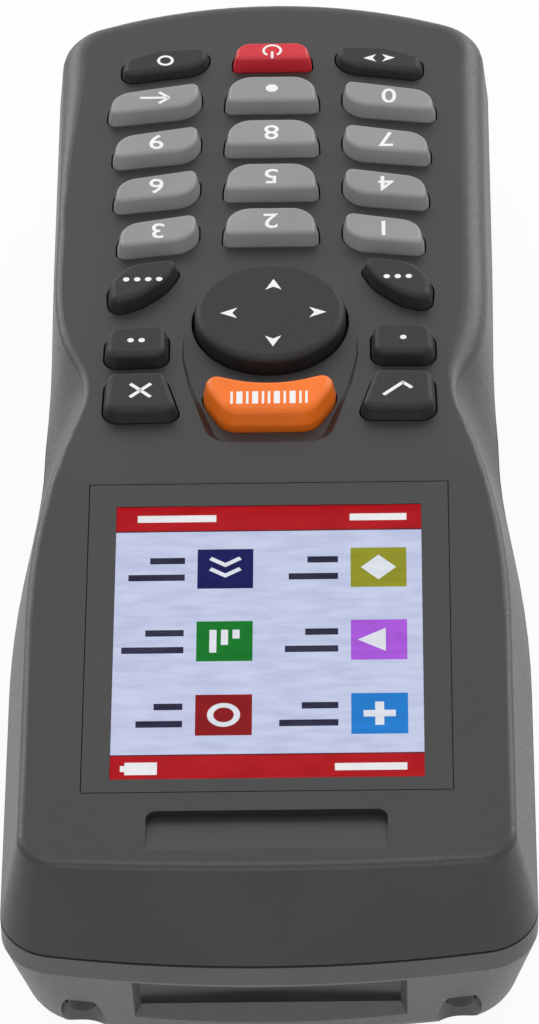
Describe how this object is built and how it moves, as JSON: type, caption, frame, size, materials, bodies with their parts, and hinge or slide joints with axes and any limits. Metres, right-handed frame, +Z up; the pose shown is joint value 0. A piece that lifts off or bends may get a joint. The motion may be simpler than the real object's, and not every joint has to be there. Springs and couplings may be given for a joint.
{
  "type": "portable barcode data terminal",
  "caption": "Handheld barcode data terminal with a colour screen, phone-style keypad, four-way pad and a scan window in its wide head.",
  "frame": {"origin": "centre of the footprint, on the surface that the terminal lies on with its keys up", "axes": "+Z up out of the face, +Y along the length towards the tail of the handle, -Y out of the scan window, +X to the right seen from the head"},
  "size_m": [0.0596, 0.1561, 0.0328],
  "materials": {
    "housing_grey": "fine matte moulded texture",
    "key_grey": "matte silicone-coated",
    "key_black": "matte",
    "key_orange": "satin",
    "key_red": "satin",
    "bezel_grey": "fine satin print",
    "window_clear": "clear",
    "screen": "lit liquid crystal display",
    "scan_window_dark": "dark tinted gloss",
    "rubber_dark": "matte",
    "board_green": "solder mask",
    "black_plastic": "moulded",
    "white_plastic": "moulded",
    "steel": "plated",
    "screw_steel": "blackened",
    "contact_metal": "gold plated",
    "flex_film": "polyimide film",
    "battery_wrap": "shrink wrap",
    "foam_grey": "foam"
  },
  "bodies": {
    "housing": {"front_cover": "housing_grey", "rear_cover": "housing_grey", "display_bezel": "bezel_grey", "display_window": "window_clear", "scan_window": "scan_window_dark", "housing_screws": "screw_steel", "battery_pack": "battery_wrap", "usb_socket": "steel", "lcd_panel": "screen", "lcd_backlight": "white_plastic", "lcd_frame": "black_plastic", "lcd_cushion": "foam_grey", "lcd_flex": "flex_film", "main_board": "board_green", "shield_can": "steel", "buzzer": "black_plastic", "board_screws": "steel", "board_flex": "flex_film", "keypad_mat": "rubber_dark", "dome_sheet": "steel", "keypad_board": "board_green", "scan_engine": "black_plastic", "engine_lenses": "scan_window_dark", "engine_board": "board_green", "engine_bracket": "steel", "bracket_screws": "steel", "engine_flex": "flex_film", "battery_contacts": "contact_metal", "io_board": "board_green", "io_flex": "flex_film"},
    "battery_cover": {"battery_cover": "housing_grey"},
    "dpad_pivot": {"dpad_pivot": "rubber_dark"},
    "dpad_disc": {"dpad_disc": "key_black"},
    "key_1": {"key_1": "key_grey"},
    "key_2": {"key_2": "key_grey"},
    "key_3": {"key_3": "key_grey"},
    "key_4": {"key_4": "key_grey"},
    "key_5": {"key_5": "key_grey"},
    "key_6": {"key_6": "key_grey"},
    "key_7": {"key_7": "key_grey"},
    "key_8": {"key_8": "key_grey"},
    "key_9": {"key_9": "key_grey"},
    "key_0": {"key_0": "key_grey"},
    "key_dot": {"key_dot": "key_grey"},
    "key_delete": {"key_delete": "key_grey"},
    "key_power": {"key_power": "key_red"},
    "key_switch": {"key_switch": "key_black"},
    "key_function": {"key_function": "key_black"},
    "key_f1": {"key_f1": "key_black"},
    "key_f2": {"key_f2": "key_black"},
    "key_f3": {"key_f3": "key_black"},
    "key_f4": {"key_f4": "key_black"},
    "key_enter": {"key_enter": "key_black"},
    "key_escape": {"key_escape": "key_black"},
    "key_scan": {"key_scan": "key_orange"}
  },
  "joints": [
    {"name": "key_1_press", "type": "slide", "parent": "housing", "child": "key_1", "axis": [0, -0.0558, -0.9984], "range_m": [0, 0.0008], "stiffness_N_per_m": 1500, "springref_m": -0.0003},
    {"name": "key_2_press", "type": "slide", "parent": "housing", "child": "key_2", "axis": [0, -0.0558, -0.9984], "range_m": [0, 0.0008], "stiffness_N_per_m": 1500, "springref_m": -0.0003},
    {"name": "key_3_press", "type": "slide", "parent": "housing", "child": "key_3", "axis": [0, -0.0558, -0.9984], "range_m": [0, 0.0008], "stiffness_N_per_m": 1500, "springref_m": -0.0003},
    {"name": "key_4_press", "type": "slide", "parent": "housing", "child": "key_4", "axis": [0, -0.0558, -0.9984], "range_m": [0, 0.0008], "stiffness_N_per_m": 1500, "springref_m": -0.0003},
    {"name": "key_5_press", "type": "slide", "parent": "housing", "child": "key_5", "axis": [0, -0.0558, -0.9984], "range_m": [0, 0.0008], "stiffness_N_per_m": 1500, "springref_m": -0.0003},
    {"name": "key_6_press", "type": "slide", "parent": "housing", "child": "key_6", "axis": [0, -0.0558, -0.9984], "range_m": [0, 0.0008], "stiffness_N_per_m": 1500, "springref_m": -0.0003},
    {"name": "key_7_press", "type": "slide", "parent": "housing", "child": "key_7", "axis": [0, -0.0558, -0.9984], "range_m": [0, 0.0008], "stiffness_N_per_m": 1500, "springref_m": -0.0003},
    {"name": "key_8_press", "type": "slide", "parent": "housing", "child": "key_8", "axis": [0, -0.0558, -0.9984], "range_m": [0, 0.0008], "stiffness_N_per_m": 1500, "springref_m": -0.0003},
    {"name": "key_9_press", "type": "slide", "parent": "housing", "child": "key_9", "axis": [0, -0.0558, -0.9984], "range_m": [0, 0.0008], "stiffness_N_per_m": 1500, "springref_m": -0.0003},
    {"name": "key_0_press", "type": "slide", "parent": "housing", "child": "key_0", "axis": [0, -0.0558, -0.9984], "range_m": [0, 0.0008], "stiffness_N_per_m": 1500, "springref_m": -0.0003},
    {"name": "key_dot_press", "type": "slide", "parent": "housing", "child": "key_dot", "axis": [0, -0.0558, -0.9984], "range_m": [0, 0.0008], "stiffness_N_per_m": 1500, "springref_m": -0.0003},
    {"name": "key_delete_press", "type": "slide", "parent": "housing", "child": "key_delete", "axis": [0, -0.0558, -0.9984], "range_m": [0, 0.0008], "stiffness_N_per_m": 1500, "springref_m": -0.0003},
    {"name": "key_power_press", "type": "slide", "parent": "housing", "child": "key_power", "axis": [0, -0.0558, -0.9984], "range_m": [0, 0.0008], "stiffness_N_per_m": 1500, "springref_m": -0.0003},
    {"name": "key_switch_press", "type": "slide", "parent": "housing", "child": "key_switch", "axis": [0, -0.0558, -0.9984], "range_m": [0, 0.0008], "stiffness_N_per_m": 1500, "springref_m": -0.0003},
    {"name": "key_function_press", "type": "slide", "parent": "housing", "child": "key_function", "axis": [0, -0.0558, -0.9984], "range_m": [0, 0.0008], "stiffness_N_per_m": 1500, "springref_m": -0.0003},
    {"name": "key_f1_press", "type": "slide", "parent": "housing", "child": "key_f1", "axis": [0, -0.0558, -0.9984], "range_m": [0, 0.0008], "stiffness_N_per_m": 1500, "springref_m": -0.0003},
    {"name": "key_f2_press", "type": "slide", "parent": "housing", "child": "key_f2", "axis": [0, -0.0558, -0.9984], "range_m": [0, 0.0008], "stiffness_N_per_m": 1500, "springref_m": -0.0003},
    {"name": "key_f3_press", "type": "slide", "parent": "housing", "child": "key_f3", "axis": [0, -0.0558, -0.9984], "range_m": [0, 0.0008], "stiffness_N_per_m": 1500, "springref_m": -0.0003},
    {"name": "key_f4_press", "type": "slide", "parent": "housing", "child": "key_f4", "axis": [0, -0.0558, -0.9984], "range_m": [0, 0.0008], "stiffness_N_per_m": 1500, "springref_m": -0.0003},
    {"name": "key_enter_press", "type": "slide", "parent": "housing", "child": "key_enter", "axis": [0, -0.0558, -0.9984], "range_m": [0, 0.0008], "stiffness_N_per_m": 1500, "springref_m": -0.0003},
    {"name": "key_escape_press", "type": "slide", "parent": "housing", "child": "key_escape", "axis": [0, -0.0558, -0.9984], "range_m": [0, 0.0008], "stiffness_N_per_m": 1500, "springref_m": -0.0003},
    {"name": "key_scan_press", "type": "slide", "parent": "housing", "child": "key_scan", "axis": [0, -0.0558, -0.9984], "range_m": [0, 0.0008], "stiffness_N_per_m": 1500, "springref_m": -0.0003},
    {"name": "dpad_tilt_up_down", "type": "hinge", "parent": "housing", "child": "dpad_pivot", "pos_m": [0, 0.01391, 0.02607], "axis": [1, 0, 0], "range_deg": [-3, 3], "stiffness_Nm_per_rad": 0.17},
    {"name": "dpad_tilt_left_right", "type": "hinge", "parent": "dpad_pivot", "child": "dpad_disc", "pos_m": [0, 0.01391, 0.02607], "axis": [0, 0.9984, -0.0558], "range_deg": [-3, 3], "stiffness_Nm_per_rad": 0.17},
    {"name": "battery_cover_slide", "type": "slide", "parent": "housing", "child": "battery_cover", "axis": [0, 1, 0], "range_m": [0, 0.045]}
  ]
}
